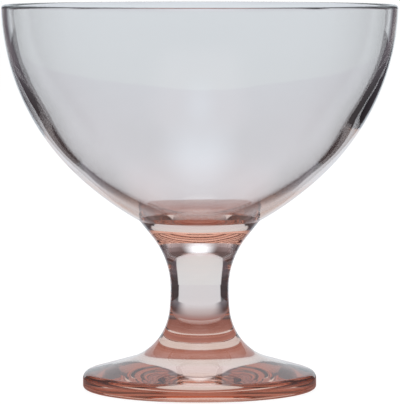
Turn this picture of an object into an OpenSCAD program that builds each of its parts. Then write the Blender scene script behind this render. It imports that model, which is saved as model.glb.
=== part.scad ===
// Footed dessert glass in three pieces of fused glass: a bowl, a stem and a foot, all turned about Z.
// Z = 0 is the table under the foot and +Z is up. Lengths are millimetres, and slopes are degrees from level.
// Each outline is half of a section, and its round stretches are arcs that run smoothly into each other.

/* [Bowl] */
// Height of the glass from the table to the top of the rim
height = 101; // [90:0.5:115]
// Outer diameter of the rim
rim_d = 104; // [94:0.5:114]
// Wall at the rim, which ends in a full round
rim_wall = 2; // [1.4:0.1:3]
// Angle from upright at which the wall leans in below the rim
rim_lean = 2; // [0:0.5:4]
// Slope outside where the shallow haunch passes into the steep side
haunch_slope = 44.1; // [40:0.1:48]
// Glass between the middle of the floor and the middle of the underside
base_wall = 5.4; // [4:0.1:7]
// How quickly the wall thins from the floor as the bowl steepens
wall_fade = 4; // [3:0.5:6]
// Extra wall where the side swells most
side_swell = 0.8; // [0:0.1:1.2]
// Slope outside where the side swells most
swell_slope = 57; // [52:1:62]

/* [Weld between bowl and stem] */
// Diameter of the crease around the weld
weld_d = 31.6; // [29:0.1:34]
// Height of the crease above the table
weld_h = 44.2; // [42:0.1:47]
// Slope of the underside of the bowl at the crease
base_slope = 29.4; // [27:0.1:32]

/* [Stem] */
// Diameter of the waist, the thinnest place
waist_d = 15.3; // [13:0.1:18]
// Height of the waist above the table
waist_h = 26.3; // [24:0.1:29]
// Angle from upright of the straight flare below the crease
flare_angle = 38.5; // [34:0.5:42]
// Radius in section of the long hollow below the waist
shank_r = 55; // [40:1:80]

/* [Foot] */
// Diameter of the foot
foot_d = 61.6; // [56:0.1:68]
// Slope of the foot's upper face
top_slope = 16.3; // [14:0.1:18]
// Radius in section of the cove where the upper face rises into the stem
cove_r = 15; // [12:0.5:18]
// Height of the hub that the stem is fused to
hub_h = 13; // [11:0.1:15]
// Height of the middle of the round at the edge's upper corner
edge_h = 2.5; // [2:0.1:3.2]
// Radius of the edge's upper corner
edge_r = 2.1; // [1:0.1:3]
// Radius of the edge's lower corner
toe_r = 0.8; // [0.3:0.1:1.5]
// Width of the flat ring that the glass stands on
ring_w = 8; // [4:0.5:10]
// Depth of the dished hollow inside the ring
dish_h = 0.6; // [0.3:0.1:1.5]

/* [Hidden] */
$fn = 180;
// Straight pieces in each arc of an outline
arc_steps = 16;
// Change of slope over which the side's swell dies away
swell_reach = 14;
// The tint shows where the glass is thick
bowl_colour = "#cdd5da";
stem_colour = "#e0cbc6";
foot_colour = "#cda094";

// The point at a distance and an angle from another
function polar(centre, distance, angle) = centre + distance * [cos(angle), sin(angle)];

// Points along an arc, but for its last, which is the first of the stretch that follows
function arc(centre, radius, from, to) =
    [for (i = [0 : arc_steps - 1]) polar(centre, radius, from + (to - from) * i / arc_steps)];

// Wall where the outside has a given slope
function wall(slope) =
    rim_wall
    + (base_wall - rim_wall) * cos(slope) ^ wall_fade
    + side_swell * exp(-((slope - swell_slope) / swell_reach) ^ 2);

// Points a wall inside an arc of the bowl's outside, but for the last
function inside(centre, radius, from, to) =
    [for (i = [0 : arc_steps - 1])
        let(angle = from + (to - from) * i / arc_steps) polar(centre, radius - wall(angle + 90), angle)];

// Radii of two arcs in a row that cover a span while the slope goes from low through mid to high
function two_radii(span, low, mid, high) =
    let(
        lower = [sin(mid) - sin(low), cos(low) - cos(mid)],
        upper = [sin(high) - sin(mid), cos(mid) - cos(high)]
    )
    [cross(span, upper), cross(lower, span)] / cross(lower, upper);

// Rim: the lip is a full round
rim_slope = 90 - rim_lean;
lip_r = rim_wall / 2;
lip_at = [rim_d / 2 - lip_r, height - lip_r];

// Outside of the bowl, from the crease up
crease_at = [weld_d / 2, weld_h];
outer_radii = two_radii(polar(lip_at, lip_r, -rim_lean) - crease_at, base_slope, haunch_slope, rim_slope);
haunch_r = outer_radii[0];
side_r = outer_radii[1];
haunch_at = polar(crease_at, haunch_r, base_slope + 90);
side_at = polar(lip_at, side_r - lip_r, 180 - rim_lean);

// Underside: a ball that carries the haunch's slope on, and that the stem is cupped to seat
ball_r = crease_at[0] / sin(base_slope);
ball_at = [0, weld_h + ball_r * cos(base_slope)];
seat = arc(ball_at, ball_r, -90, base_slope - 90);

// Stem: a hollow above the waist runs into the straight flare that ends at the crease
waist_r = waist_d / 2;
flare_out = crease_at[0] - waist_r;
flare_up = weld_h - waist_h;
throat_r = (flare_up * sin(flare_angle) - flare_out * cos(flare_angle)) / (1 - cos(flare_angle));
throat_at = [waist_r + throat_r, waist_h];
shank_at = [waist_r + shank_r, waist_h];

// Foot: the upper face touches the edge's upper corner and the cove, and the cove touches the shank
foot_r = foot_d / 2;
corner_at = [foot_r - edge_r, edge_h];
toe_at = [foot_r - toe_r, toe_r];
face_up = [sin(top_slope), cos(top_slope)];
face_in = [-cos(top_slope), sin(top_slope)];
face_low = corner_at + edge_r * face_up;
cove_line = face_low + cove_r * face_up - shank_at;
cove_back = cove_line * face_in;
cove_way = sqrt(cove_back ^ 2 - cove_line * cove_line + (shank_r - cove_r) ^ 2) - cove_back;
cove_at = shank_at + cove_line + cove_way * face_in;
shank_turn = 180 + atan((cove_at[1] - shank_at[1]) / (cove_at[0] - shank_at[0]));

// Hub: a level cut through the cove
hub_turn = 180 + asin((cove_at[1] - hub_h) / cove_r);
hub_edge = polar(cove_at, cove_r, hub_turn);

// Underneath: the hollow is the cap of a ball
dish_edge = foot_r - toe_r - ring_w;
dish_r = (dish_edge ^ 2 + dish_h ^ 2) / (2 * dish_h);
dish_at = [0, dish_h - dish_r];

// A bowl with its own thick, rounded base
module bowl() {
    color(bowl_colour) rotate_extrude() polygon(concat(
        seat,
        arc(haunch_at, haunch_r, base_slope - 90, haunch_slope - 90),
        arc(side_at, side_r, haunch_slope - 90, -rim_lean),
        arc(lip_at, lip_r, -rim_lean, 180 - rim_lean),
        inside(side_at, side_r, -rim_lean, haunch_slope - 90),
        inside(haunch_at, haunch_r, haunch_slope - 90, base_slope - 90),
        inside(ball_at, ball_r, base_slope - 90, -90),
        [[0, ball_at[1] - ball_r + base_wall]]
    ));
}

// A solid stem, cupped at the top to seat the bowl and cut level at the hub
module stem() {
    color(stem_colour) rotate_extrude() polygon(concat(
        seat,
        [crease_at],
        arc(throat_at, throat_r, 180 - flare_angle, 180),
        arc(shank_at, shank_r, 180, shank_turn),
        arc(cove_at, cove_r, shank_turn, hub_turn),
        [hub_edge, [0, hub_h]]
    ));
}

// A solid foot that rises to the hub, with a ring to stand on and a hollow inside it
module foot() {
    color(foot_colour) rotate_extrude() polygon(concat(
        arc(dish_at, dish_r, 90, 90 - asin(dish_edge / dish_r)),
        [[dish_edge, 0]],
        arc(toe_at, toe_r, -90, 0),
        [toe_at + [toe_r, 0]],
        arc(corner_at, edge_r, 0, 90 - top_slope),
        [face_low],
        arc(cove_at, cove_r, 270 - top_slope, hub_turn),
        [hub_edge, [0, hub_h]]
    ));
}

bowl();
stem();
foot();
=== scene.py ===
"""Footed dessert glass of rose-tinted glass: a bowl, a stem and a foot, turned about Z and fused together.

The file is laid out as an add-on and is run as a script. Its main function makes the three pieces around the
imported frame, then the studio and the camera. Lengths are metres, slopes are angles from level, and Z = 0 is
the table.
"""

import math

import bmesh
import bpy
from bpy.props import FloatProperty, FloatVectorProperty, IntProperty, PointerProperty
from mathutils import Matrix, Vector


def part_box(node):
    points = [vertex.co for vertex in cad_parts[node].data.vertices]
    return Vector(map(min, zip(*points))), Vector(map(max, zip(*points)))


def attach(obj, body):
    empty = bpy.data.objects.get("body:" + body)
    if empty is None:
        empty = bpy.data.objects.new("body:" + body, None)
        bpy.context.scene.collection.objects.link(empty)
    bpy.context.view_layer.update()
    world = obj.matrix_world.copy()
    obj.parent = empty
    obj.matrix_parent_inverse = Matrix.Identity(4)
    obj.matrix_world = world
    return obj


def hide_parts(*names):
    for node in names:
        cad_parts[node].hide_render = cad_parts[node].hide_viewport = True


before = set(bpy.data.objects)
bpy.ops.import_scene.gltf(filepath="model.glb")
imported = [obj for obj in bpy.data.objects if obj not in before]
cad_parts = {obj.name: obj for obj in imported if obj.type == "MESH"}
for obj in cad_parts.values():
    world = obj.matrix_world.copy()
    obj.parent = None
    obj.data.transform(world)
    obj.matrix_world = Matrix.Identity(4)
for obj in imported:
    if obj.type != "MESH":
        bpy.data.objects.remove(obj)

bl_info = {
    "name": "Footed dessert glass",
    "version": (1, 0, 0),
    "blender": (4, 5, 0),
    "location": "3D View > Sidebar > Dessert glass",
    "description": "Makes a footed dessert glass from a bowl, a stem and a foot of fused glass",
    "category": "Add Mesh",
}

BOWL_LOW, BOWL_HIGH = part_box("bowl")
STEM_LOW, STEM_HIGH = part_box("stem")
FOOT_LOW, FOOT_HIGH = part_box("foot")

QUARTER = math.pi / 2
WHITE = (1, 1, 1)

# What the lathe has to know about each point of a section, as attributes of its mesh
MARKS = ("inside", "crease", "fused")
# A mark at both ends of an edge or all corners of a face comes out as 1, but for rounding
WHOLE = 0.99
# Points nearer than this are one point
SAME_PLACE = 1e-6

# Steps in each stretch of a section
SEAT_STEPS = 24
HAUNCH_STEPS = 32
SIDE_STEPS = 56
LIP_STEPS = 24
BASE_STEPS = 32
FLARE_STEPS = 12
THROAT_STEPS = 48
SHANK_STEPS = 24
ANKLE_STEPS = 24
HUB_STEPS = 8
COVE_STEPS = 48
FACE_STEPS = 16
CORNER_STEPS = 24
EDGE_STEPS = 6
TOE_STEPS = 12
RING_STEPS = 8
DISH_STEPS = 40

# The photograph's frame, in pixels
FRAME_WIDTH = 400
FRAME_HEIGHT = 404

# The stage's own sizes: its floor lies just under the foot, with the table as the glass sees it between them
ROOM_RADIUS = 2.8
ROOM_RINGS = 24
STAGE_HALF = 3
FLOOR_LEVEL = -0.0001
TABLE_LEVEL = -0.00005
VIEW_REACH = 20

# How often light may pass through the glass, be mirrored by it, or pass through a card's faded part
GLASS_BOUNCES = 32
MIRROR_BOUNCES = 16
CARD_BOUNCES = 16


def length(name, description, default):
    return FloatProperty(name=name, description=description, default=default, min=0, precision=4,
                         subtype="DISTANCE")


def slope(name, description, degrees):
    return FloatProperty(name=name, description=description, default=math.radians(degrees), subtype="ANGLE")


def number(name, description, default, **limits):
    return FloatProperty(name=name, description=description, default=default, **limits)


def colour(name, description, hex_value):
    return FloatVectorProperty(name=name, description=description, default=linear(hex_value), size=3, min=0,
                               soft_max=1, subtype="COLOR")


def linear(hex_value):
    """Linear red, green and blue of an sRGB hex colour."""
    parts = (int(hex_value[i:i + 2], 16) / 255 for i in (1, 3, 5))
    return tuple(part / 12.92 if part <= 0.04045 else ((part + 0.055) / 1.055) ** 2.4 for part in parts)


# Settings

class BowlSettings(bpy.types.PropertyGroup):
    height: length("Height", "Height of the rim above the table", BOWL_HIGH.z)
    rim_d: length("Rim diameter", "Outer diameter of the rim", BOWL_HIGH.x - BOWL_LOW.x)
    rim_wall: length("Rim wall", "Wall at the rim, which ends in a full round", 0.002)
    rim_lean: slope("Rim lean", "Angle from upright at which the wall leans in below the rim", 2)
    haunch_slope: slope("Haunch slope", "Slope where the shallow haunch passes into the steep side", 44.1)
    base_wall: length("Base wall", "Glass between the middles of the floor and the underside", 0.0054)
    wall_fade: number("Wall fade", "How quickly the wall thins as the bowl steepens", 4)
    side_swell: length("Side swell", "Extra wall where the side swells most", 0.0008)
    swell_slope: slope("Swell slope", "Slope outside where the side swells most", 57)
    swell_reach: slope("Swell reach", "Change of slope over which the side's swell dies away", 14)
    ripple: length("Ripple", "How far the inside is uneven, as pressed glass is", 0.00012)
    ripple_size: length("Ripple size", "Distance from one swell of the inside to the next", 0.03)


class StemSettings(bpy.types.PropertyGroup):
    weld_d: length("Crease diameter", "Diameter of the crease around the weld", STEM_HIGH.x - STEM_LOW.x)
    weld_h: length("Crease height", "Height of the crease around the weld", STEM_HIGH.z)
    underside: length("Underside height", "Height of the lowest point of the bowl", BOWL_LOW.z)
    waist_d: length("Waist diameter", "Diameter at the thinnest place", 0.0153)
    waist_h: length("Waist height", "Height of the waist above the table", 0.0263)
    flare_angle: slope("Flare angle", "Angle from upright of the straight flare below the crease", 38.5)
    shank_r: length("Shank radius", "Radius in section of the long hollow below the waist", 0.055)


class FootSettings(bpy.types.PropertyGroup):
    foot_d: length("Foot diameter", "Diameter of the foot", FOOT_HIGH.x - FOOT_LOW.x)
    hub_h: length("Hub height", "Height of the hub that the stem is fused to", FOOT_HIGH.z)
    top_slope: slope("Top slope", "Slope of the foot's upper face", 16.3)
    cove_r: length("Cove radius", "Radius in section of the cove between the upper face and the stem", 0.015)
    edge_h: length("Edge height", "Height of the middle of the round at the edge's upper corner", 0.0025)
    edge_r: length("Edge radius", "Radius of the edge's upper corner", 0.0021)
    toe_r: length("Toe radius", "Radius of the edge's lower corner", 0.0008)
    ring_w: length("Ring width", "Width of the flat ring that the glass stands on", 0.008)
    dish_h: length("Dish depth", "Depth of the dished hollow inside the ring", 0.0006)


class GlassSettings(bpy.types.PropertyGroup):
    segments: IntProperty(name="Segments", description="Faces around each piece", default=256, min=16, max=512)
    tint: colour("Tint", "Colour that light keeps as it crosses the glass", "#f6b37c")
    depth: number("Tint strength", "Absorption per metre of the colour that the tint lacks", 16, min=0)
    ior: number("IOR", "Index of refraction", 1.5, min=1)
    wave_size: length("Wave size", "Distance from one wave of the polished surface to the next", 0.007)
    wave_height: length("Wave height", "Height of those waves", 0.00001)
    fusion_gap: length("Fusion gap", "Space between two fused faces, so that they never coincide", 0.00001)


class StudioSettings(bpy.types.PropertyGroup):
    camera_distance: length("Camera distance", "From the glass's axis to the camera, along the table", 0.861)
    camera_height: length("Camera height", "From the table to the camera", 0.1149)
    camera_pitch: slope("Camera pitch", "How far the camera looks down", 4.371)
    focal_px: number("Focal length", "In pixels of the photograph's frame", 3280, subtype="PIXEL")
    shift_px: number("Shift", "Sideways shift in pixels of the photograph's frame", 0.4, subtype="PIXEL")

    backdrop_y: length("Backdrop distance", "From the glass's axis back to the backdrop", 0.67)
    backdrop_half: length("Backdrop half width", "From its middle to the middle of its soft edge", 0.6)
    backdrop_top: length("Backdrop height", "From the table to the middle of its soft top", 1.6)
    backdrop_soft: length("Backdrop softness", "Half the width over which its edges fade", 0.1)
    backdrop_tone: colour("Backdrop tone", "Shows through the glass", "#e0e8ee")

    ceiling_z: length("Ceiling height", "From the table to the ceiling paper", 0.48)
    ceiling_half: length("Ceiling half width", "From its middle to the middle of its soft edge", 0.39)
    ceiling_front: length("Ceiling front", "From the glass's axis back to its front edge", 0.19)
    ceiling_back: length("Ceiling back", "From the glass's axis back to its rear edge", 1.15)
    ceiling_soft: length("Ceiling softness", "Half the width over which its edges fade", 0.2)
    ceiling_tone: colour("Ceiling tone", "Lights the stem and the foot from behind", "#e6eaf4")

    spot_z: length("Spot height", "From the table to the spot", 0.98)
    spot_y: length("Spot distance", "From the glass's axis back to the middle of the spot", 0.028)
    spot_half: length("Spot half width", "From its middle to the middle of its soft edge", 0.22)
    spot_soft: length("Spot softness", "Half the width over which its edges fade", 0.181)
    spot_strength: number("Spot strength", "How bright the spot is", 2, min=0)
    strip_z: length("Strip height", "From the table to the strip light in front", 0.512)
    strip_half: length("Strip half width", "From its middle to the middle of its soft edge", 0.042)
    strip_near: length("Strip near end", "From the glass's axis forward to its near end", 0.115)
    strip_far: length("Strip far end", "From the glass's axis forward to its far end", 0.3)
    strip_soft: length("Strip softness", "Half the width over which its edges fade", 0.08)
    strip_strength: number("Strip strength", "How bright the strip is", 1.6, min=0)
    light_tone: colour("Light tone", "Colour of the spot and the strip", "#d8eeff")

    wing_x: length("Side card distance", "From the glass's axis sideways to each dark card", 0.085)
    wing_front: length("Side card front", "From the glass's axis back to a card's front edge", 0.045)
    wing_back: length("Side card back", "From the glass's axis back to a card's rear edge", 0.13)
    wing_top: length("Side card height", "From the table to the middle of its soft top", 0.13)
    wing_soft: length("Side card softness", "Half the width over which its upright edges fade", 0.008)
    wing_fade: length("Side card top softness", "Half the height over which its top fades", 0.03)
    wing_low: colour("Side card foot", "Its tone near the table", "#423a3c")
    wing_high: colour("Side card top", "Its tone beside the bowl", "#5f5961")
    wing_dark: length("Side card dark part", "From the table to where its tone begins to lighten", 0.03)
    wing_light: length("Side card light part", "From the table to where its tone is lightest", 0.07)

    mirror_angle: slope("Mirror angle", "Half the angle in which the table mirrors the backdrop", 33)
    mirror_soft: length("Mirror softness", "Half the width over which its edges fade", 0.008)
    table_far: colour("Table behind", "The table where it mirrors the backdrop", "#dce2ea")
    table_side: colour("Table beside", "The table to the sides and in front", "#5c6064")
    pool_r: length("Light pool", "Radius of the lit part of the table round the glass", 0.12)
    pool_soft: length("Light pool softness", "Half the width over which its edge fades", 0.004)
    pool_angle: slope("Light pool angle", "Either side of straight back, where its dim sides begin", 26)
    pool_turn: length("Light pool turn", "Half the width over which its sides dim", 0.02)
    pool_side: colour("Light pool's sides", "The lit table where it mirrors the dark cards", "#777780")
    pool_dim: colour("Light pool's dim sides", "The same close to the foot", "#504344")
    # Painted shadow: the table under the foot, rosy where the light that reaches it has crossed the glass
    tinted_shadow_tone: colour("Under the foot", "The table in the foot's own colour", "#80524a")
    glow_tone: colour("Glow", "The light that the foot gathers at its edge", "#b89088")
    glow_r: length("Glow radius", "From the glass's axis to the glow", 0.03)
    shade_tone: colour("Foot's shade", "The foot's soft shade on the table", "#a27872")
    shade_r: length("Foot's shade radius", "From the glass's axis to the foot's shade", 0.037)
    # Painted shade: the bowl's faint shadow on the table
    bowl_shade_tone: colour("Bowl's shade", "The bowl's faint shade on the table", "#b8acae")
    bowl_r: length("Bowl's shade radius", "From the glass's axis to the bowl's shade", 0.063)

    # Places in the room are shares of its radius, back from the glass or up from the table
    side_low: colour("Low beside", "The room at the sides and behind, near the table", "#6e666a")
    side_high: colour("High beside", "The room at the sides and behind, high up", "#7a6068")
    front_low: colour("Low in front", "The room on the camera's side, near the table", "#9aa2b2")
    front_high: colour("High in front", "The room on the camera's side, high up", "#605a5e")
    turn_back: number("Turn behind", "Where the room's sides end", 0.5)
    turn_front: number("Turn in front", "Where the room's front begins", 0)
    rise_low: number("Rise from", "Where the low tones begin to fade", -0.38)
    rise_high: number("Rise to", "Where the high tones are full", 0.64)
    front_light: colour("Light in front", "A broad soft light over the camera", "#bfb2b6")
    front_half: number("Front light half width", "From its middle to the middle of its soft edge", 0.4)
    front_soft: number("Front light softness", "Half the width over which its sides fade", 0.15)
    front_turn: number("Front light start", "Where the light begins on the camera's side", -0.1)
    front_full: number("Front light full", "Where the light is full on the camera's side", -0.25)
    front_rise: number("Front light foot", "How far up the light begins", 0.4)
    front_top: number("Front light top", "How far up the light is full", 0.6)

    fill: number("Fill", "Strength of the even light on matt surfaces", 0.5, min=0, max=1, subtype="FACTOR")
    shadow_share: number("Shadow share", "Share of the floor's tone that shadows take away", 0.2,
                         min=0, max=1, subtype="FACTOR")
    lamp_z: length("Lamp height", "From the table to the lamp", 1)
    lamp_size: length("Lamp size", "Side of the square lamp", 0.8)
    lamp_power: number("Lamp power", "How bright the lamp is", 8, min=0, unit="POWER")


# Sections

class Station:
    """A point of a section, with its marks for the lathe."""

    def __init__(self, point, inside=0.0, crease=False, fused=False):
        self.point = point
        self.inside = inside
        self.crease = crease
        self.fused = fused


def polar(centre, distance, angle):
    return centre + distance * Vector((math.cos(angle), math.sin(angle)))


def closer_at_ends(steps):
    """Shares of a stretch but for its last, closer at its ends, so that the shading runs on evenly."""
    return [(1 - math.cos(math.pi * i / steps)) / 2 for i in range(steps)]


def arc(centre, radius, start, end, steps):
    """Points of an arc but for its last."""
    return [polar(centre, radius, start + (end - start) * share) for share in closer_at_ends(steps)]


def straight(start, end, steps):
    """Points of a straight stretch but for its last."""
    return [start.lerp(end, share) for share in closer_at_ends(steps)]


def two_radii(span, low, mid, high):
    """Radii of two arcs in a row that cover a span while the slope goes from low through mid to high."""
    lower = Vector((math.sin(mid) - math.sin(low), math.cos(low) - math.cos(mid)))
    upper = Vector((math.sin(high) - math.sin(mid), math.cos(mid) - math.cos(high)))
    return span.cross(upper) / lower.cross(upper), lower.cross(span) / lower.cross(upper)


class Weld:
    """The ball-shaped seat between the bowl and the stem."""

    def __init__(self, stem):
        self.crease_at = Vector((stem.weld_d / 2, stem.weld_h))
        self.slope = 2 * math.atan((stem.weld_h - stem.underside) / self.crease_at.x)
        self.ball_r = self.crease_at.x / math.sin(self.slope)
        self.ball_at = Vector((0, stem.underside + self.ball_r))

    def seat(self, lift):
        """The seat's points from its middle out to the crease, raised by lift."""
        points = arc(self.ball_at, self.ball_r, -QUARTER, self.slope - QUARTER, SEAT_STEPS) + [self.crease_at]
        seat = [Station(point + Vector((0, lift)), fused=True) for point in points]
        seat[-1].crease = True
        return seat


class Cove:
    """The cove that touches the foot's upper face and the shank, and the hub that cuts it."""

    def __init__(self, stem, foot):
        self.shank_at = Vector((stem.waist_d / 2 + stem.shank_r, stem.waist_h))
        self.corner_at = Vector((foot.foot_d / 2 - foot.edge_r, foot.edge_h))
        face_up = Vector((math.sin(foot.top_slope), math.cos(foot.top_slope)))
        face_in = Vector((-math.cos(foot.top_slope), math.sin(foot.top_slope)))
        self.face_low = self.corner_at + foot.edge_r * face_up
        line = self.face_low + foot.cove_r * face_up - self.shank_at
        back = line.dot(face_in)
        way = math.sqrt(back ** 2 - line.dot(line) + (stem.shank_r - foot.cove_r) ** 2) - back
        self.middle = self.shank_at + line + way * face_in
        between = self.middle - self.shank_at
        self.shank_turn = math.pi + math.atan(between.y / between.x)
        self.hub_turn = math.pi + math.asin((self.middle.y - foot.hub_h) / foot.cove_r)
        self.hub_edge = polar(self.middle, foot.cove_r, self.hub_turn)

    def hub(self, lift):
        """The hub's points from its edge in to the axis, raised by lift."""
        edge = self.hub_edge + Vector((0, lift))
        middle = Vector((0, edge.y))
        hub = [Station(edge.lerp(middle, i / HUB_STEPS), fused=True) for i in range(HUB_STEPS + 1)]
        hub[0].crease = True
        return hub


def bowl_section(bowl, stem, glass):
    """From the middle of the underside out, up to the rim and down the inside to the middle of the floor."""
    weld = Weld(stem)
    rim_slope = QUARTER - bowl.rim_lean
    lip_r = bowl.rim_wall / 2
    lip_at = Vector((bowl.rim_d / 2 - lip_r, bowl.height - lip_r))
    side_top = polar(lip_at, lip_r, -bowl.rim_lean)
    haunch_r, side_r = two_radii(side_top - weld.crease_at, weld.slope, bowl.haunch_slope, rim_slope)
    haunch_at = polar(weld.crease_at, haunch_r, weld.slope + QUARTER)
    side_at = polar(lip_at, side_r - lip_r, math.pi - bowl.rim_lean)

    def wall(angle):
        slope_here = angle + QUARTER
        thinning = (bowl.base_wall - bowl.rim_wall) * math.cos(slope_here) ** bowl.wall_fade
        swell = bowl.side_swell * math.exp(-((slope_here - bowl.swell_slope) / bowl.swell_reach) ** 2)
        return bowl.rim_wall + thinning + swell

    def inside(centre, radius, start, end, steps):
        outside = arc(centre, radius, start, end, steps)
        angles = [math.atan2(point.y - centre.y, point.x - centre.x) for point in outside]
        return [polar(centre, radius - wall(angle), angle) for angle in angles]

    haunch_turn = bowl.haunch_slope - QUARTER
    weld_turn = weld.slope - QUARTER
    outer = (
        arc(haunch_at, haunch_r, weld_turn, haunch_turn, HAUNCH_STEPS)
        + arc(side_at, side_r, haunch_turn, -bowl.rim_lean, SIDE_STEPS)
        + arc(lip_at, lip_r, -bowl.rim_lean, math.pi - bowl.rim_lean, LIP_STEPS)
    )
    inner = (
        inside(side_at, side_r, -bowl.rim_lean, haunch_turn, SIDE_STEPS)
        + inside(haunch_at, haunch_r, haunch_turn, weld_turn, HAUNCH_STEPS)
        + inside(weld.ball_at, weld.ball_r, weld_turn, -QUARTER, BASE_STEPS)
        + [Vector((0, weld.ball_at.y - weld.ball_r + bowl.base_wall))]
    )
    section = weld.seat(glass.fusion_gap / 2)
    section += [Station(point) for point in outer[1:]]
    for point in inner:
        below_rim = min(1, (bowl.height - point.y) / bowl.ripple_size)
        off_axis = min(1, point.x / bowl.ripple_size)
        section.append(Station(point, inside=below_rim * off_axis))
    return section


def stem_section(stem, foot, glass):
    """From the middle of the hub out, up the waist to the crease and in to the middle of the cupped top."""
    weld = Weld(stem)
    cove = Cove(stem, foot)
    waist_r = stem.waist_d / 2
    flare_out = weld.crease_at.x - waist_r
    flare_up = stem.weld_h - stem.waist_h
    throat_span = flare_up * math.sin(stem.flare_angle) - flare_out * math.cos(stem.flare_angle)
    throat_r = throat_span / (1 - math.cos(stem.flare_angle))
    throat_at = Vector((waist_r + throat_r, stem.waist_h))
    outline = (
        arc(throat_at, throat_r, math.pi - stem.flare_angle, math.pi, THROAT_STEPS)
        + arc(cove.shank_at, stem.shank_r, math.pi, cove.shank_turn, SHANK_STEPS)
        + arc(cove.middle, foot.cove_r, cove.shank_turn, cove.hub_turn, ANKLE_STEPS)
    )
    flare = straight(weld.crease_at, outline[0], FLARE_STEPS)
    section = weld.seat(-glass.fusion_gap / 2)
    section += [Station(point) for point in flare[1:] + outline]
    section += cove.hub(glass.fusion_gap / 2)
    return section[::-1]


def foot_section(stem, foot, glass):
    """From the middle of the dish out under the ring, up the edge and the face, and in across the hub."""
    cove = Cove(stem, foot)
    face_turn = math.pi + QUARTER - foot.top_slope
    face_top = polar(cove.middle, foot.cove_r, face_turn)
    foot_r = foot.foot_d / 2
    toe_at = Vector((foot_r - foot.toe_r, foot.toe_r))
    edge_top = cove.corner_at + Vector((foot.edge_r, 0))
    edge_low = toe_at + Vector((foot.toe_r, 0))
    ring_edge = toe_at - Vector((0, foot.toe_r))
    dish_half = foot_r - foot.toe_r - foot.ring_w
    dish_edge = Vector((dish_half, 0))
    dish_r = (dish_half ** 2 + foot.dish_h ** 2) / (2 * foot.dish_h)
    dish_at = Vector((0, foot.dish_h - dish_r))
    dish_turn = QUARTER - math.asin(dish_half / dish_r)
    outline = (
        arc(cove.middle, foot.cove_r, cove.hub_turn, face_turn, COVE_STEPS)
        + straight(face_top, cove.face_low, FACE_STEPS)
        + arc(cove.corner_at, foot.edge_r, QUARTER - foot.top_slope, 0, CORNER_STEPS)
        + straight(edge_top, edge_low, EDGE_STEPS)
        + arc(toe_at, foot.toe_r, 0, -QUARTER, TOE_STEPS)
        + straight(ring_edge, dish_edge, RING_STEPS)
    )
    dish = arc(dish_at, dish_r, dish_turn, QUARTER, DISH_STEPS)
    section = cove.hub(-glass.fusion_gap / 2)[::-1]
    section += [Station(point) for point in outline[1:]]
    section.append(Station(dish_edge, crease=True))
    section += [Station(point) for point in dish[1:]]
    section.append(Station(Vector((0, foot.dish_h))))
    return section[::-1]


# Node trees

def add(tree, kind, inputs=None, **settings):
    """Adds a node with its settings, and gives its inputs values, or links them to sockets or other nodes.

    Inputs go by name, or by number among those in use. A node stands for the first of its outputs in use.
    """
    made = tree.nodes.new(kind)
    for name, value in settings.items():
        setattr(made, name, value)
    live = [socket for socket in made.inputs if socket.enabled]
    for name, value in (inputs or {}).items():
        socket = live[name] if isinstance(name, int) else next(one for one in live if one.name == name)
        if isinstance(value, bpy.types.Node):
            value = next(output for output in value.outputs if output.enabled)
        if isinstance(value, bpy.types.NodeSocket):
            tree.links.new(value, socket)
        elif socket.type == "RGBA":
            socket.default_value = (*value, 1)
        else:
            socket.default_value = value
    return made


def fresh_nodes(owner):
    owner.use_nodes = True
    owner.node_tree.nodes.clear()
    return owner.node_tree


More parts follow.
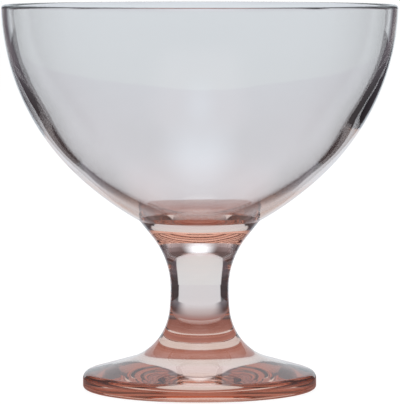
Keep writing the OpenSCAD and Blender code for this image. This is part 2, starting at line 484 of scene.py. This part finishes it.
def lathe_tree():
    """Turns a section, a row of points in the XZ plane, about Z, and ripples its inside."""
    tree = bpy.data.node_groups.new("Turned glass", "GeometryNodeTree")
    for name, kind in (("Section", "NodeSocketGeometry"), ("Segments", "NodeSocketInt"),
                       ("Ripple", "NodeSocketFloat"), ("Ripple size", "NodeSocketFloat"),
                       ("Glass", "NodeSocketMaterial")):
        tree.interface.new_socket(name, in_out="INPUT", socket_type=kind)
    tree.interface.new_socket("Piece", in_out="OUTPUT", socket_type="NodeSocketGeometry")
    given = add(tree, "NodeGroupInput").outputs
    section = given["Section"]

    # A grid with a column of the section's points for each step of the turn, and one more to close it
    count = add(tree, "GeometryNodeAttributeDomainSize", {"Geometry": section}).outputs["Point Count"]
    columns = add(tree, "ShaderNodeMath", {0: given["Segments"], 1: 1}, operation="ADD")
    grid = add(tree, "GeometryNodeMeshGrid", {"Vertices X": columns, "Vertices Y": count})
    index = add(tree, "GeometryNodeInputIndex")
    row = add(tree, "ShaderNodeMath", {0: index, 1: count}, operation="MODULO")
    along = add(tree, "ShaderNodeMath", {0: index, 1: count}, operation="DIVIDE")
    column = add(tree, "ShaderNodeMath", {0: along}, operation="FLOOR")
    turned = add(tree, "ShaderNodeMath", {0: column, 1: given["Segments"]}, operation="DIVIDE")
    angle = add(tree, "ShaderNodeMath", {0: turned, 1: math.tau}, operation="MULTIPLY")

    # Each point of the grid goes where its row's point of the section is turned to, and takes its marks
    position = add(tree, "GeometryNodeInputPosition")
    place = add(tree, "GeometryNodeSampleIndex", {"Geometry": section, "Value": position, "Index": row},
                data_type="FLOAT_VECTOR")
    across = add(tree, "ShaderNodeSeparateXYZ", {0: place}).outputs
    target = {"Z": across["Z"]}
    for axis, operation in (("X", "COSINE"), ("Y", "SINE")):
        share = add(tree, "ShaderNodeMath", {0: angle}, operation=operation)
        target[axis] = add(tree, "ShaderNodeMath", {0: across["X"], 1: share}, operation="MULTIPLY")
    place = add(tree, "ShaderNodeCombineXYZ", target)
    flow = add(tree, "GeometryNodeSetPosition", {"Geometry": grid, "Position": place})
    marks = {}
    for name in MARKS:
        marks[name] = add(tree, "GeometryNodeInputNamedAttribute", {"Name": name}, data_type="FLOAT")
        mark = add(tree, "GeometryNodeSampleIndex", {"Geometry": section, "Value": marks[name], "Index": row},
                   data_type="FLOAT")
        flow = add(tree, "GeometryNodeStoreNamedAttribute", {"Geometry": flow, "Name": name, "Value": mark},
                   data_type="FLOAT", domain="POINT")

    # The last column meets the first, and the points on the axis become one
    flow = add(tree, "GeometryNodeMergeByDistance", {"Geometry": flow, "Distance": SAME_PLACE})

    # An edge between two creased points is sharp, and a face whose corners are all fused is part of a joint
    sharp = add(tree, "ShaderNodeMath", {0: marks["crease"], 1: WHOLE}, operation="GREATER_THAN")
    joint = add(tree, "ShaderNodeMath", {0: marks["fused"], 1: WHOLE}, operation="GREATER_THAN")
    flow = add(tree, "GeometryNodeSetShadeSmooth", {"Geometry": flow, "Shade Smooth": True}, domain="FACE")
    flow = add(tree, "GeometryNodeSetShadeSmooth", {
        "Geometry": flow, "Selection": sharp, "Shade Smooth": False,
    }, domain="EDGE")
    flow = add(tree, "GeometryNodeStoreNamedAttribute", {"Geometry": flow, "Name": "joint", "Value": joint},
               data_type="FLOAT", domain="FACE")

    # The inside swells and sinks along its own normal
    scale = add(tree, "ShaderNodeMath", {0: 1, 1: given["Ripple size"]}, operation="DIVIDE")
    noise = add(tree, "ShaderNodeTexNoise", {"Scale": scale, "Detail": 0})
    swell = add(tree, "ShaderNodeMath", {0: noise, 1: 0.5}, operation="SUBTRACT")
    reach = add(tree, "ShaderNodeMath", {0: given["Ripple"], 1: 2}, operation="MULTIPLY")
    height = add(tree, "ShaderNodeMath", {0: swell, 1: reach}, operation="MULTIPLY")
    height = add(tree, "ShaderNodeMath", {0: height, 1: marks["inside"]}, operation="MULTIPLY")
    normal = add(tree, "GeometryNodeInputNormal")
    push = add(tree, "ShaderNodeVectorMath", {0: normal, "Scale": height}, operation="SCALE")
    flow = add(tree, "GeometryNodeSetPosition", {"Geometry": flow, "Offset": push})
    flow = add(tree, "GeometryNodeRealizeInstances", {"Geometry": flow})
    flow = add(tree, "GeometryNodeSetMaterial", {"Geometry": flow, "Material": given["Glass"]})
    add(tree, "NodeGroupOutput", {"Piece": flow})
    return tree


def rose_glass(glass):
    """Rose-tinted soda-lime glass, pressed in a mould and fire-polished.

    It looks clear where it is thin and rosy brown where light goes a long way in it, because the tint is in
    the glass and not on it. Fire-polishing leaves a soft unevenness a few millimetres across, which bends
    reflections. A joint between two fused pieces doesn't bend or reflect light, so its faces have the index
    of refraction 1.
    """
    material = bpy.data.materials.get("rose-tinted soda-lime glass")
    if material:
        return material
    material = bpy.data.materials.new("rose-tinted soda-lime glass")
    tree = fresh_nodes(material)
    at = add(tree, "ShaderNodeTexCoord").outputs["Object"]
    waves = add(tree, "ShaderNodeTexNoise", {"Vector": at, "Scale": 1 / glass.wave_size, "Detail": 1})
    bump = add(tree, "ShaderNodeBump", {"Height": waves, "Strength": 1, "Distance": glass.wave_height})
    joint = add(tree, "ShaderNodeAttribute", attribute_name="joint").outputs["Fac"]
    ior = add(tree, "ShaderNodeMapRange", {"Value": joint, "To Min": glass.ior, "To Max": 1})
    shader = add(tree, "ShaderNodeBsdfPrincipled", {
        "Base Color": WHITE, "Roughness": 0, "IOR": ior, "Transmission Weight": 1, "Normal": bump,
    })
    tinted = add(tree, "ShaderNodeVolumeAbsorption", {"Color": glass.tint, "Density": glass.depth})
    add(tree, "ShaderNodeOutputMaterial", {"Surface": shader, "Volume": tinted})
    return material


# Pieces

def turn_piece(context, name, section, node):
    """Turns a section into a plain mesh that stands for a node of the frame."""
    scene = context.scene
    mesh = bpy.data.meshes.new(name)
    points = [(station.point.x, 0, station.point.y) for station in section]
    mesh.from_pydata(points, [(i, i + 1) for i in range(len(points) - 1)], [])
    for mark in MARKS:
        values = mesh.attributes.new(mark, "FLOAT", "POINT")
        values.data.foreach_set("value", [float(getattr(station, mark)) for station in section])
    piece = bpy.data.objects.new(name, mesh)
    scene.collection.objects.link(piece)
    tree = bpy.data.node_groups.get("Turned glass") or lathe_tree()
    lathe = piece.modifiers.new("Lathe", "NODES")
    lathe.node_group = tree
    inputs = {
        "Segments": scene.glass_finish.segments, "Ripple": scene.glass_bowl.ripple,
        "Ripple size": scene.glass_bowl.ripple_size, "Glass": rose_glass(scene.glass_finish),
    }
    for item in tree.interface.items_tree:
        if item.name in inputs:
            lathe[item.identifier] = inputs[item.name]
    made = bpy.data.meshes.new_from_object(piece.evaluated_get(context.evaluated_depsgraph_get()))
    piece.modifiers.clear()
    piece.data = made
    bpy.data.meshes.remove(mesh)
    made.name = name
    if not made.polygons:
        raise RuntimeError(f"{name} has no faces")
    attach(piece, "root")
    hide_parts(node)


class AddBowl(bpy.types.Operator):
    """Make the bowl, with its rounded rim and thick base"""
    bl_idname = "mesh.dessert_glass_bowl"
    bl_label = "Bowl"

    def execute(self, context):
        scene = context.scene
        section = bowl_section(scene.glass_bowl, scene.glass_stem, scene.glass_finish)
        turn_piece(context, "glass_bowl", section, "bowl")
        return {"FINISHED"}


class AddStem(bpy.types.Operator):
    """Make the waisted stem, cupped at the top and level at the hub"""
    bl_idname = "mesh.dessert_glass_stem"
    bl_label = "Stem"

    def execute(self, context):
        scene = context.scene
        section = stem_section(scene.glass_stem, scene.glass_foot, scene.glass_finish)
        turn_piece(context, "glass_stem", section, "stem")
        return {"FINISHED"}


class AddFoot(bpy.types.Operator):
    """Make the domed foot, with the ring it stands on"""
    bl_idname = "mesh.dessert_glass_foot"
    bl_label = "Foot"

    def execute(self, context):
        scene = context.scene
        section = foot_section(scene.glass_stem, scene.glass_foot, scene.glass_finish)
        turn_piece(context, "glass_foot", section, "foot")
        return {"FINISHED"}


# Studio

def sheet(name, corners):
    """A flat four-cornered mesh."""
    mesh = bpy.data.meshes.new(name)
    mesh.from_pydata(corners, [], [range(4)])
    return mesh


def level_sheet(name, half, front, back, height):
    corners = [(-half, front, height), (half, front, height), (half, back, height), (-half, back, height)]
    return sheet(name, corners)


def band(value, low, high, soft):
    """The two fades of a mask that is 1 between low and high, with soft ends."""
    return (value, low - soft, low + soft), (value, high + soft, high - soft)


class Card:
    """A part of the studio that only the glass sees. It turns with the rig and may fade out at its edges."""

    def __init__(self, scene, rig, name, mesh):
        material = bpy.data.materials.new(name)
        self.tree = fresh_nodes(material)
        self.place = add(self.tree, "ShaderNodeTexCoord").outputs["Object"]
        self.at = add(self.tree, "ShaderNodeSeparateXYZ", {0: self.place}).outputs
        mesh.materials.append(material)
        made = bpy.data.objects.new(name, mesh)
        scene.collection.objects.link(made)
        made.visible_camera = made.visible_shadow = made.visible_diffuse = False
        made.parent = rig

    def mask(self, *fades):
        """The product of soft fades. Each is a value, where it makes 0 and where it makes 1."""
        share = None
        for value, start, end in fades:
            fade = add(self.tree, "ShaderNodeMapRange", {"Value": value, "From Min": start, "From Max": end},
                       interpolation_type="SMOOTHSTEP")
            if share is None:
                share = fade
            else:
                share = add(self.tree, "ShaderNodeMath", {0: share, 1: fade}, operation="MULTIPLY")
        return share

    def paint(self, tone, cover=1, strength=1):
        shine = add(self.tree, "ShaderNodeEmission", {"Color": tone, "Strength": strength})
        clear = add(self.tree, "ShaderNodeBsdfTransparent")
        mixed = add(self.tree, "ShaderNodeMixShader", {0: cover, 1: clear, 2: shine})
        add(self.tree, "ShaderNodeOutputMaterial", {"Surface": mixed})


class AddStudio(bpy.types.Operator):
    """Make the floor, the cards, the lamp and the camera"""
    bl_idname = "scene.dessert_glass_studio"
    bl_label = "Studio"

    def execute(self, context):
        scene = context.scene
        studio = scene.glass_studio
        camera = self.camera(scene, studio)
        # The cards stand on a turntable that keeps its front to the camera
        rig = bpy.data.objects.new("card_turntable", None)
        scene.collection.objects.link(rig)
        aim = rig.constraints.new("LOCKED_TRACK")
        aim.target = camera
        aim.track_axis = "TRACK_NEGATIVE_Y"
        aim.lock_axis = "LOCK_Z"
        for build in (self.backdrop, self.ceiling, self.spot, self.strip, self.wings, self.table, self.room):
            build(scene, studio, rig)
        self.floor(scene, studio)
        self.world(scene, studio)
        self.lamp(scene, studio)
        scene.view_settings.view_transform = "Standard"
        scene.cycles.max_bounces = scene.cycles.transmission_bounces = GLASS_BOUNCES
        scene.cycles.glossy_bounces = MIRROR_BOUNCES
        scene.cycles.transparent_max_bounces = CARD_BOUNCES
        scene.cycles.use_denoising = True
        return {"FINISHED"}

    def camera(self, scene, studio):
        camera = bpy.data.objects.new("camera", bpy.data.cameras.new("camera"))
        scene.collection.objects.link(camera)
        scene.camera = camera
        long_side = max(FRAME_WIDTH, FRAME_HEIGHT)
        camera.location = (0, -studio.camera_distance, studio.camera_height)
        camera.rotation_euler = (QUARTER - studio.camera_pitch, 0, 0)
        camera.data.lens = studio.focal_px * camera.data.sensor_width / long_side
        camera.data.shift_x = studio.shift_px / long_side
        camera.data.clip_end = VIEW_REACH
        return camera

    def backdrop(self, scene, studio, rig):
        """A tall pale paper behind the glass, which shows through it."""
        half, top, soft = studio.backdrop_half, studio.backdrop_top, studio.backdrop_soft
        reach, back = half + soft, studio.backdrop_y
        corners = [(-reach, back, 0), (reach, back, 0), (reach, back, top + soft), (-reach, back, top + soft)]
        card = Card(scene, rig, "backdrop", sheet("backdrop", corners))
        upper = (card.at["Z"], top + soft, top - soft)
        card.paint(studio.backdrop_tone, card.mask(*band(card.at["X"], -half, half, soft), upper))

    def ceiling(self, scene, studio, rig):
        """A pale paper over the backdrop, which lights the stem and the foot from behind."""
        half, soft = studio.ceiling_half, studio.ceiling_soft
        front, back = studio.ceiling_front, studio.ceiling_back
        mesh = level_sheet("ceiling", half + soft, front - soft, back + soft, studio.ceiling_z)
        card = Card(scene, rig, "ceiling", mesh)
        cover = card.mask(*band(card.at["X"], -half, half, soft), *band(card.at["Y"], front, back, soft))
        card.paint(studio.ceiling_tone, cover)

    def spot(self, scene, studio, rig):
        """A soft spot straight above, which leaves a streak of light down the inside of the bowl."""
        half, soft, middle = studio.spot_half, studio.spot_soft, studio.spot_y
        front, back = middle - half, middle + half
        mesh = level_sheet("spot", half + soft, front - soft, back + soft, studio.spot_z)
        card = Card(scene, rig, "spot", mesh)
        cover = card.mask(*band(card.at["X"], -half, half, soft), *band(card.at["Y"], front, back, soft))
        card.paint(studio.light_tone, cover, studio.spot_strength)

    def strip(self, scene, studio, rig):
        """A narrow strip light over the camera's side, which brightens the neck of the stem."""
        half, soft = studio.strip_half, studio.strip_soft
        front, back = -studio.strip_far, -studio.strip_near
        mesh = level_sheet("strip", half + soft, front - soft, back + soft, studio.strip_z)
        card = Card(scene, rig, "strip", mesh)
        cover = card.mask(*band(card.at["X"], -half, half, soft), *band(card.at["Y"], front, back, soft))
        card.paint(studio.light_tone, cover, studio.strip_strength)

    def wings(self, scene, studio, rig):
        """A dark card close by on either side, which draws the dark edges of the bowl and the stem."""
        soft, fade = studio.wing_soft, studio.wing_fade
        front, back, top = studio.wing_front, studio.wing_back, studio.wing_top
        near, far, high = front - soft, back + soft, top + fade
        for name, x in (("left_card", -studio.wing_x), ("right_card", studio.wing_x)):
            corners = [(x, near, 0), (x, far, 0), (x, far, high), (x, near, high)]
            card = Card(scene, rig, name, sheet(name, corners))
            lighter = card.mask((card.at["Z"], studio.wing_dark, studio.wing_light))
            tone = add(card.tree, "ShaderNodeMix", {
                "Factor": lighter, "A": studio.wing_low, "B": studio.wing_high,
            }, data_type="RGBA")
            upper = (card.at["Z"], high, top - fade)
            card.paint(tone, card.mask(*band(card.at["Y"], front, back, soft), upper))

    def table(self, scene, studio, rig):
        """The table as the glass sees it: painted rosy shadow and glow round the foot, and pale where it
        mirrors the backdrop.
        """
        mesh = level_sheet("table", STAGE_HALF, -STAGE_HALF, STAGE_HALF, TABLE_LEVEL)
        card = Card(scene, rig, "table", mesh)
        tree = card.tree
        side = add(tree, "ShaderNodeMath", {0: card.at["X"]}, operation="ABSOLUTE")
        away = add(tree, "ShaderNodeVectorMath", {0: card.place}, operation="LENGTH")

        def outward_of(angle):
            """How far sideways a point lies from a line at an angle to straight back."""
            line = add(tree, "ShaderNodeMath", {0: card.at["Y"], 1: math.tan(angle)}, operation="MULTIPLY")
            return add(tree, "ShaderNodeMath", {0: side, 1: line}, operation="SUBTRACT")

        # The painted shadow and glow of the lit pool go from the axis out to its rim, where it is as pale as
        # the table behind
        share = add(tree, "ShaderNodeMath", {0: away, 1: 1 / studio.pool_r}, operation="MULTIPLY")
        lit = add(tree, "ShaderNodeValToRGB", {0: share})
        stops = lit.color_ramp.elements
        stops[0].color = (*studio.tinted_shadow_tone, 1)
        stops[1].color = (*studio.table_far, 1)
        for radius, tone in ((studio.glow_r, studio.glow_tone), (studio.shade_r, studio.shade_tone),
                             (studio.bowl_r, studio.bowl_shade_tone)):
            stops.new(radius / studio.pool_r).color = (*tone, 1)

        # Its sides are dimmer, because they mirror the dark cards
        outer = card.mask((away, studio.bowl_r, studio.pool_r))
        dim = add(tree, "ShaderNodeMix", {"Factor": outer, "A": studio.pool_dim, "B": studio.pool_side},
                  data_type="RGBA")
        aside = card.mask((outward_of(studio.pool_angle), -studio.pool_turn, studio.pool_turn),
                          (away, studio.shade_r, studio.bowl_r))
        pool = add(tree, "ShaderNodeMix", {"Factor": aside, "A": lit, "B": dim}, data_type="RGBA")

        mirror = card.mask((outward_of(studio.mirror_angle), studio.mirror_soft, -studio.mirror_soft))
        around = add(tree, "ShaderNodeMix", {"Factor": mirror, "A": studio.table_side, "B": studio.table_far},
                     data_type="RGBA")
        near = card.mask((away, studio.pool_r + studio.pool_soft, studio.pool_r - studio.pool_soft))
        card.paint(add(tree, "ShaderNodeMix", {"Factor": near, "A": around, "B": pool}, data_type="RGBA"))

    def room(self, scene, studio, rig):
        """The room all round: dark at the sides and behind, and pale near the table on the camera's side."""
        ball = bmesh.new()
        bmesh.ops.create_uvsphere(ball, u_segments=2 * ROOM_RINGS, v_segments=ROOM_RINGS, radius=ROOM_RADIUS)
        mesh = bpy.data.meshes.new("room")
        ball.to_mesh(mesh)
        ball.free()
        card = Card(scene, rig, "room", mesh)
        tree = card.tree
        across, back, up = (
            add(tree, "ShaderNodeMath", {0: card.at[axis], 1: 1 / ROOM_RADIUS}, operation="MULTIPLY")
            for axis in "XYZ"
        )
        high = card.mask((up, studio.rise_low, studio.rise_high))
        sides = add(tree, "ShaderNodeMix", {"Factor": high, "A": studio.side_low, "B": studio.side_high},
                    data_type="RGBA")
        fronts = add(tree, "ShaderNodeMix", {"Factor": high, "A": studio.front_low, "B": studio.front_high},
                     data_type="RGBA")
        front = card.mask((back, studio.turn_back, studio.turn_front))
        tone = add(tree, "ShaderNodeMix", {"Factor": front, "A": sides, "B": fronts}, data_type="RGBA")
        lit = card.mask(*band(across, -studio.front_half, studio.front_half, studio.front_soft),
                        (back, studio.front_turn, studio.front_full),
                        (up, studio.front_rise, studio.front_top))
        card.paint(add(tree, "ShaderNodeMix", {
            "Factor": lit, "A": tone, "B": studio.front_light,
        }, data_type="RGBA"))

    def floor(self, scene, studio):
        """A pale floor: white to the camera, but for the glass's soft shadow."""
        material = bpy.data.materials.new("pale floor")
        tree = fresh_nodes(material)
        share = studio.shadow_share
        lit = add(tree, "ShaderNodeBsdfDiffuse", {"Color": (share, share, share)})
        plain = add(tree, "ShaderNodeEmission", {"Color": WHITE, "Strength": 1 - share * studio.fill})
        both = add(tree, "ShaderNodeAddShader", {0: lit, 1: plain})
        add(tree, "ShaderNodeOutputMaterial", {"Surface": both})
        mesh = level_sheet("floor", STAGE_HALF, -STAGE_HALF, STAGE_HALF, FLOOR_LEVEL)
        mesh.materials.append(material)
        made = bpy.data.objects.new("floor", mesh)
        scene.collection.objects.link(made)

    def world(self, scene, studio):
        """White to the camera and in the glass, and half bright to a matt surface."""
        world = bpy.data.worlds.new("studio")
        scene.world = world
        tree = fresh_nodes(world)
        rays = add(tree, "ShaderNodeLightPath").outputs
        in_glass = add(tree, "ShaderNodeMath", {0: rays["Is Glossy Ray"], 1: rays["Is Transmission Ray"]},
                       operation="ADD")
        seen = add(tree, "ShaderNodeMath", {0: rays["Is Camera Ray"], 1: in_glass}, operation="ADD")
        strength = add(tree, "ShaderNodeMapRange", {"Value": seen, "To Min": studio.fill, "To Max": 1})
        light = add(tree, "ShaderNodeBackground", {"Color": WHITE, "Strength": strength})
        add(tree, "ShaderNodeOutputWorld", {"Surface": light})

    def lamp(self, scene, studio):
        """A broad soft lamp overhead, which lights a white surface to about half its colour."""
        lamp = bpy.data.lights.new("overhead_lamp", "AREA")
        lamp.size = studio.lamp_size
        lamp.energy = studio.lamp_power
        made = bpy.data.objects.new("overhead_lamp", lamp)
        scene.collection.objects.link(made)
        made.location = (0, 0, studio.lamp_z)
        made.visible_camera = made.visible_glossy = made.visible_transmission = False


class DessertGlassPanel(bpy.types.Panel):
    """Lists the glass's pieces and the studio"""
    bl_idname = "VIEW3D_PT_dessert_glass"
    bl_label = "Dessert glass"
    bl_space_type = "VIEW_3D"
    bl_region_type = "UI"
    bl_category = "Dessert glass"

    def draw(self, context):
        for operator in OPERATORS:
            self.layout.operator(operator.bl_idname)
        for name in SETTINGS:
            settings = getattr(context.scene, name)
            box = self.layout.box()
            for key in settings.__annotations__:
                box.prop(settings, key)


SETTINGS = {
    "glass_bowl": BowlSettings, "glass_stem": StemSettings, "glass_foot": FootSettings,
    "glass_finish": GlassSettings, "glass_studio": StudioSettings,
}
OPERATORS = (AddBowl, AddStem, AddFoot, AddStudio)


def register():
    for name, group in SETTINGS.items():
        bpy.utils.register_class(group)
        setattr(bpy.types.Scene, name, PointerProperty(type=group))
    for kind in (*OPERATORS, DessertGlassPanel):
        bpy.utils.register_class(kind)


def unregister():
    for kind in (DessertGlassPanel, *reversed(OPERATORS)):
        bpy.utils.unregister_class(kind)
    for name, group in SETTINGS.items():
        delattr(bpy.types.Scene, name)
        bpy.utils.unregister_class(group)


def main():
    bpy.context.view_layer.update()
    register()
    bpy.ops.mesh.dessert_glass_bowl()
    bpy.ops.mesh.dessert_glass_stem()
    bpy.ops.mesh.dessert_glass_foot()
    bpy.ops.scene.dessert_glass_studio()


if __name__ == "__main__":
    main()
